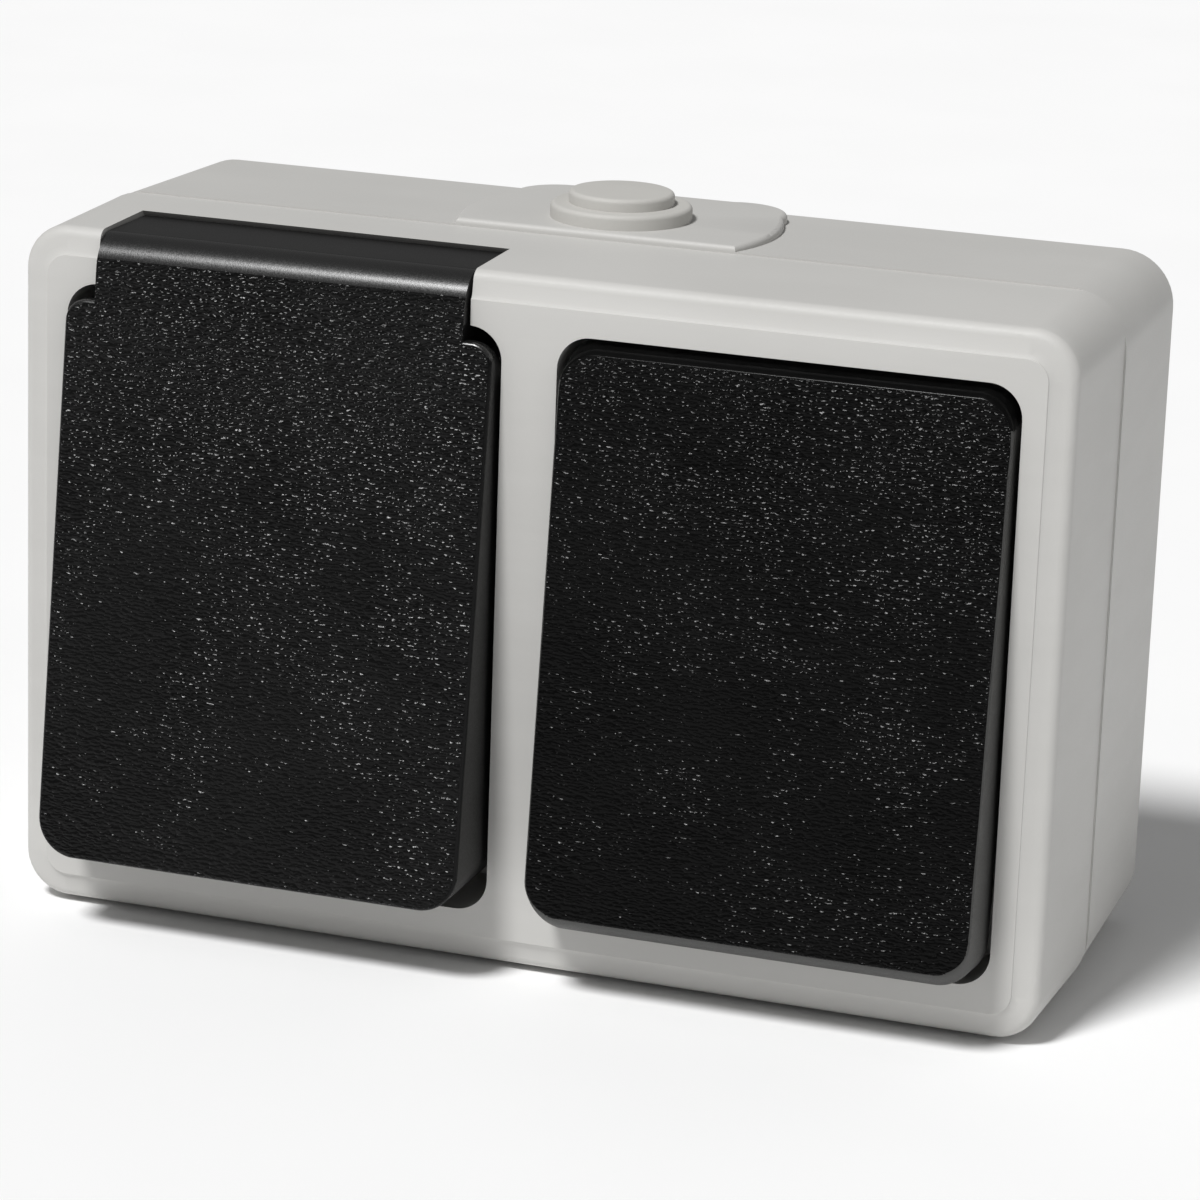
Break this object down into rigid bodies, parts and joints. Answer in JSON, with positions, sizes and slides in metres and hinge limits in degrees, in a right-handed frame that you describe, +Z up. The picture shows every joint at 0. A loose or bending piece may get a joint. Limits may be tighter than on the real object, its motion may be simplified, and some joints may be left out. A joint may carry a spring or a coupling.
{
  "type": "outdoor weatherproof socket with switch",
  "caption": "Surface-mounted outdoor unit: earthed two-pin socket under a sprung lid beside a wide rocker switch, in one light grey housing with a cable entry on top.",
  "frame": {"origin": "centre of the flat back that lies on the wall", "axes": "+X to the right seen from the front, +Y into the wall, +Z up"},
  "size_m": [0.1364, 0.0618, 0.0938],
  "materials": {
    "housing_plastic": "fine satin",
    "dark_plastic": "pebbled",
    "dish_plastic": "satin",
    "insulator": "plain moulded",
    "entry_rubber": "matt",
    "seal_rubber": "matt",
    "steel": "zinc plated",
    "brass": "stamped"
  },
  "bodies": {
    "housing": {"rear_box": "housing_plastic", "front_cover": "housing_plastic", "cover_gasket": "seal_rubber", "cover_screws": "steel", "cable_grommet": "entry_rubber", "hinge_pin": "steel", "lid_spring": "steel", "socket_dish": "dish_plastic", "dish_screw": "steel", "socket_carrier": "insulator", "carrier_screws": "steel", "live_contact": "brass", "neutral_contact": "brass", "earth_clip": "brass", "socket_terminal_screws": "steel", "switch_body": "insulator", "switch_seal": "seal_rubber", "switch_screws": "steel", "common_contact": "brass", "upper_contact": "brass", "lower_contact": "brass", "switch_terminal_screws": "steel"},
    "lid": {"lid": "dark_plastic", "lid_seal": "seal_rubber"},
    "rocker": {"rocker": "dark_plastic", "rocker_cradle": "insulator", "plunger": "insulator", "plunger_spring": "steel"},
    "bridge": {"contact_bridge": "brass"}
  },
  "joints": [
    {"name": "lid_hinge", "type": "hinge", "parent": "housing", "child": "lid", "pos_m": [-0.0324, -0.0435, 0.03935], "axis": [-1, 0, 0], "range_deg": [0, 95], "stiffness_Nm_per_rad": 0.02, "springref_deg": -40.11, "deforming": ["lid_spring"]},
    {"name": "rocker_tilt", "type": "hinge", "parent": "housing", "child": "rocker", "pos_m": [0.0324, -0.04695, 0], "axis": [1, 0, 0], "range_deg": [0, 12.6]},
    {"name": "bridge_tilt", "type": "hinge", "parent": "housing", "child": "bridge", "pos_m": [0.0324, -0.0291, 0], "axis": [1, 0, 0], "range_deg": [-14, 0]}
  ],
  "couplings": [
    {"joint": "bridge_tilt", "follows": "rocker_tilt", "ratio": -1.1111}
  ]
}
